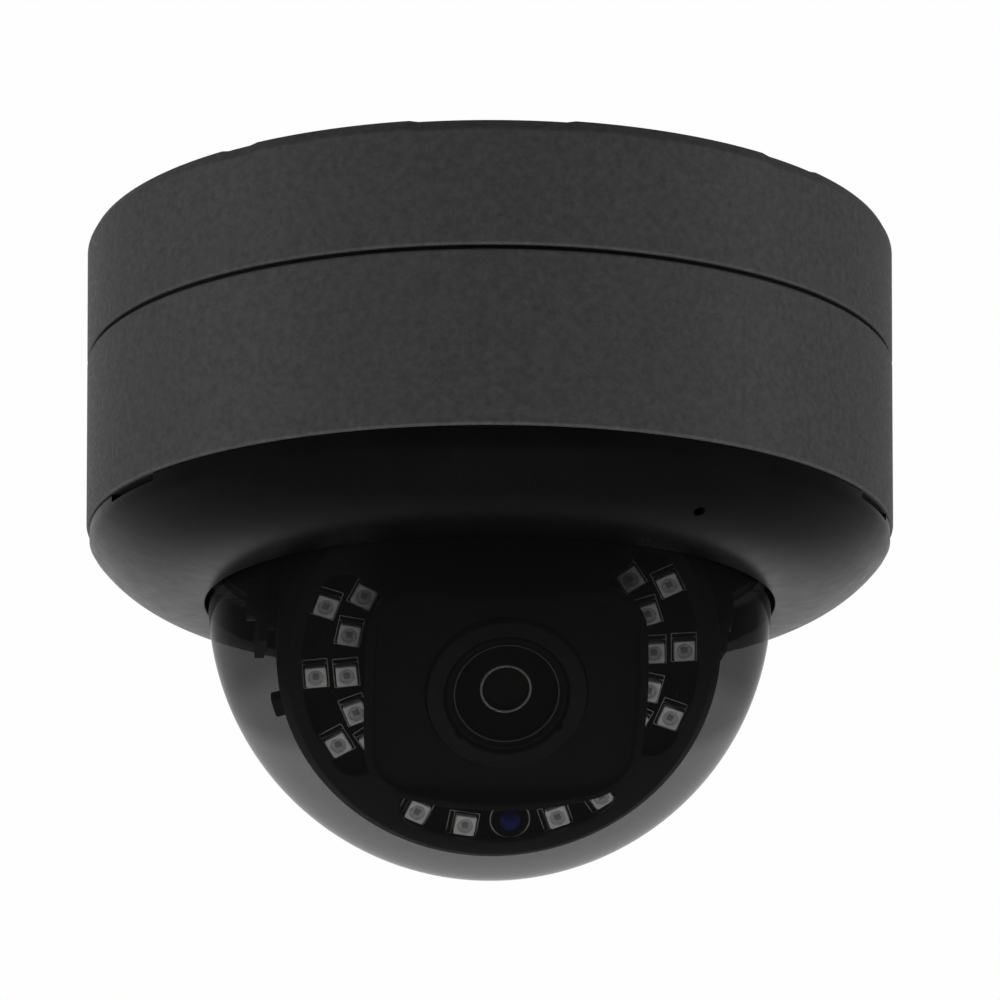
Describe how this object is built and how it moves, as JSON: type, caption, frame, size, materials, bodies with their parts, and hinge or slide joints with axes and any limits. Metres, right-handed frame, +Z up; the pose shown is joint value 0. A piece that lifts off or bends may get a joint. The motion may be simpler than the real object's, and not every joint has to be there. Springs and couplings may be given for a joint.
{
  "type": "dome cctv camera",
  "caption": "Ceiling dome camera with a smoked bubble, an infrared light ring and a module that pans, tilts and rolls.",
  "frame": {"origin": "centre of the ceiling face, on the pan axis", "axes": "+Z up towards the ceiling, -Y towards the front of the camera, +X to the right of a person who faces its lens"},
  "size_m": [0.1236, 0.1236, 0.0975],
  "materials": {
    "housing_paint": "fine textured powder coat, dark grey",
    "cover_plastic": "semi-gloss black",
    "seal_rubber": "matt black",
    "rim_rubber": "matt black",
    "plug_plastic": "matt dark grey",
    "screw_steel": "zinc plated",
    "board_laminate": "green solder mask",
    "led_board_laminate": "black solder mask",
    "brass_post": "turned",
    "connector_plastic": "moulded cream",
    "chip_plastic": "moulded black",
    "coil_ferrite": "ferrite grey",
    "capsule_metal": "pressed can",
    "slip_plastic": "acetal, off-white",
    "bracket_plastic": "moulded black",
    "arm_metal": "black coated sheet steel",
    "shell_plastic": "moulded black",
    "liner_plastic": "satin black",
    "hood_plastic": "fine satin black",
    "lens_ring_metal": "satin black anodised",
    "lens_barrel_metal": "black anodised",
    "led_ceramic": "white ceramic package",
    "led_lens_clear": "clear silicone",
    "sensor_lens": "dark blue filter",
    "iris_black": "matt black",
    "inner_ring_metal": "bright turned edge",
    "lens_glass": "coated glass",
    "coated_glass": "green multicoated glass",
    "sensor_glass": "sensor cover glass",
    "sink_aluminium": "bare aluminium",
    "smoked_dome": "smoked clear polycarbonate"
  },
  "bodies": {
    "housing": {"mount_base": "housing_paint", "ceiling_gasket": "seal_rubber", "cable_grommet": "seal_rubber", "conduit_plug": "plug_plastic", "seam_gasket": "seal_rubber", "main_housing": "housing_paint", "housing_screws": "screw_steel", "main_board": "board_laminate", "board_standoffs": "brass_post", "board_screws": "screw_steel", "board_connectors": "connector_plastic", "network_transformer": "chip_plastic", "power_coils": "coil_ferrite", "pan_slip_ring": "slip_plastic"},
    "pan_head": {"pan_table": "bracket_plastic", "pan_clamp_ring": "bracket_plastic", "pan_clamp_screws": "screw_steel", "yoke_arm_left": "arm_metal", "yoke_arm_right": "arm_metal", "yoke_screws": "screw_steel"},
    "tilt_frame": {"tilt_ring": "bracket_plastic", "tilt_pivots": "screw_steel"},
    "camera_module": {"rear_shell": "shell_plastic", "roll_retaining_ring": "screw_steel", "liner_screws": "screw_steel", "front_liner": "liner_plastic", "led_board": "led_board_laminate", "led_packages": "led_ceramic", "led_lenses": "led_lens_clear", "light_sensor": "sensor_lens", "lens_hood": "hood_plastic", "hood_gasket": "rim_rubber", "lens_barrel": "lens_barrel_metal", "lens_ring": "lens_ring_metal", "iris_plate": "iris_black", "lens_inner_ring": "inner_ring_metal", "lens_spacer": "iris_black", "front_glass": "lens_glass", "inner_glass": "coated_glass", "rear_glass": "coated_glass", "lens_holder": "shell_plastic", "image_sensor": "sensor_glass", "sensor_board": "board_laminate", "board_spacers": "brass_post", "processor_board": "board_laminate", "processor_chip": "chip_plastic", "heat_sink": "sink_aluminium"},
    "dome_cover": {"trim_cover": "cover_plastic", "dome_gasket": "seal_rubber", "dome_retaining_ring": "slip_plastic", "dome_ring_screws": "screw_steel", "microphone": "capsule_metal", "dome_bubble": "smoked_dome"}
  },
  "joints": [
    {"name": "pan", "type": "hinge", "parent": "housing", "child": "pan_head", "pos_m": [0, 0, -0.056], "axis": [0, 0, 1], "range_deg": [-177.5, 177.5]},
    {"name": "tilt", "type": "hinge", "parent": "pan_head", "child": "tilt_frame", "pos_m": [0, 0, -0.056], "axis": [1, 0, 0], "range_deg": [-17, 53]},
    {"name": "roll", "type": "hinge", "parent": "tilt_frame", "child": "camera_module", "pos_m": [0, 0, -0.056], "axis": [0, -0.7986, -0.6018], "range_deg": [-177.5, 177.5]},
    {"name": "cover_pull", "type": "slide", "parent": "housing", "child": "dome_cover", "axis": [0, 0, -1], "range_m": [0, 0.065]}
  ]
}
